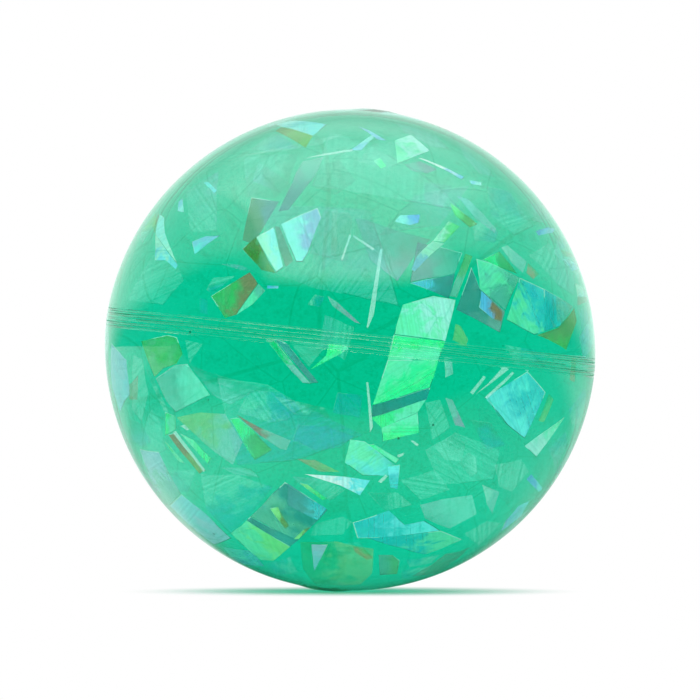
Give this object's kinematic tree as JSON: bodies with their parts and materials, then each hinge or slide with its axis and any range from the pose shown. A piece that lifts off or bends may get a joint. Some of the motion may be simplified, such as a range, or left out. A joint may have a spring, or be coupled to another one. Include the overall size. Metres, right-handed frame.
{
  "type": "bouncy ball",
  "caption": "Solid high-bounce ball of clear emerald rubber, moulded in bonded halves, with folded scraps of iridescent film cast inside.",
  "frame": {"origin": "middle of the ball, half way between the flats of its two gate marks", "axes": "+Z along the axis of the mould, towards the shallower half; -Y towards the side that the picture looks at"},
  "size_m": [0.049, 0.049, 0.0482],
  "materials": {
    "rubber_green": "gloss",
    "film_ice": "iridescent",
    "film_sky": "iridescent",
    "film_leaf": "iridescent",
    "film_olive": "iridescent",
    "film_slate": "iridescent",
    "film_veil": "clear iridescent"
  },
  "bodies": {
    "root": {"upper_half": "rubber_green", "lower_half": "rubber_green", "left_fold": "film_ice", "sail_fold": "film_ice", "ice_panel": "film_ice", "curl_fold": "film_ice", "crinkle_band": "film_ice", "ice_needles": "film_ice", "rim_dashes": "film_ice", "rear_ice": "film_ice", "top_fold": "film_sky", "blue_needle": "film_sky", "cyan_fold": "film_sky", "teal_patch": "film_sky", "cyan_sheet": "film_sky", "cyan_quad": "film_sky", "cyan_tip": "film_sky", "sky_scraps": "film_sky", "rear_sky": "film_sky", "mint_kite": "film_leaf", "seam_strip": "film_leaf", "quad_fold": "film_leaf", "green_wedge": "film_leaf", "mint_panel": "film_leaf", "fin_fold": "film_leaf", "leaf_fin": "film_leaf", "bottom_fold": "film_leaf", "mint_wedge": "film_leaf", "mint_sheet": "film_leaf", "leaf_scraps": "film_leaf", "rear_leaf": "film_leaf", "square_fold": "film_olive", "brown_scrap": "film_olive", "olive_fan": "film_olive", "olive_leaf": "film_olive", "olive_blade": "film_olive", "olive_sheet": "film_olive", "olive_scraps": "film_olive", "rear_olive": "film_olive", "slate_bar": "film_slate", "slate_blade": "film_slate", "slate_fold": "film_slate", "umber_panel": "film_slate", "slate_streak": "film_slate", "lavender_rim": "film_slate", "lavender_fold": "film_slate", "lavender_wedge": "film_slate", "grey_panel": "film_slate", "slate_scraps": "film_slate", "rear_slate": "film_slate", "upper_veil": "film_veil", "crown_veil": "film_veil", "left_veil": "film_veil", "lower_veil": "film_veil", "low_right_veil": "film_veil", "upper_shards": "film_veil", "lower_shards": "film_veil", "rim_shards": "film_veil", "deep_shards": "film_veil", "rear_veil": "film_veil"}
  },
  "joints": []
}
